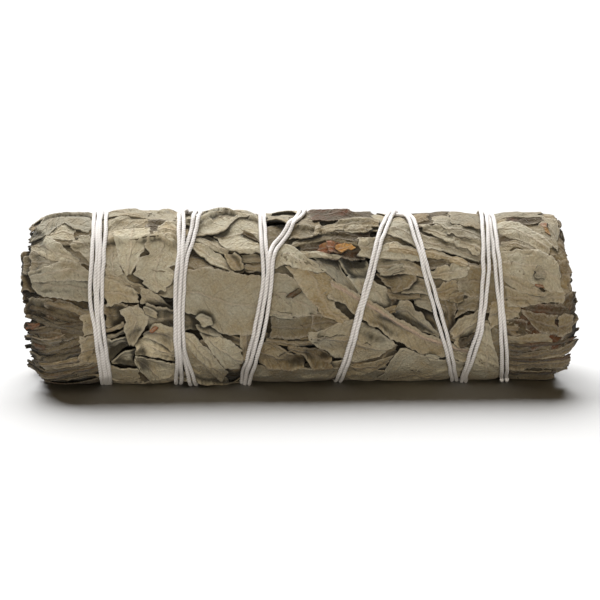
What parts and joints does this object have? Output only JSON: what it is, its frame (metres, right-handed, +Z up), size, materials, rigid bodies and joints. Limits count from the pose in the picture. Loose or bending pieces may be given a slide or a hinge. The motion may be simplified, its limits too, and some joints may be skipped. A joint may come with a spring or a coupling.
{
  "type": "sage bunch",
  "caption": "Dried white sage bunch lying on its side, broad crumpled leaves wrapped round packed leafy stems and wound with doubled white cotton string.",
  "frame": {"origin": "centre of the bounding box on the ground it lies on", "axes": "+X along the bunch, away from the end with the bare corner, +Z up, the front is towards -Y"},
  "size_m": [0.1002, 0.0347, 0.0319],
  "materials": {
    "leaf_outside": "dry felted grey-green leaf, matte",
    "leaf_inside": "dry folded olive-brown leaf, matte",
    "woody_stem": "dry brown bark, matte",
    "cotton_string": "soft twisted undyed cotton"
  },
  "bodies": {
    "root": {"outer_leaves": "leaf_outside", "string": "cotton_string", "sprig_1_leaves": "leaf_inside", "sprig_1_stem": "woody_stem", "sprig_2_leaves": "leaf_inside", "sprig_2_stem": "woody_stem", "sprig_3_leaves": "leaf_inside", "sprig_3_stem": "woody_stem", "sprig_4_leaves": "leaf_inside", "sprig_4_stem": "woody_stem", "sprig_5_leaves": "leaf_inside", "sprig_5_stem": "woody_stem", "sprig_6_leaves": "leaf_inside", "sprig_6_stem": "woody_stem", "sprig_7_leaves": "leaf_inside", "sprig_7_stem": "woody_stem"}
  },
  "joints": []
}
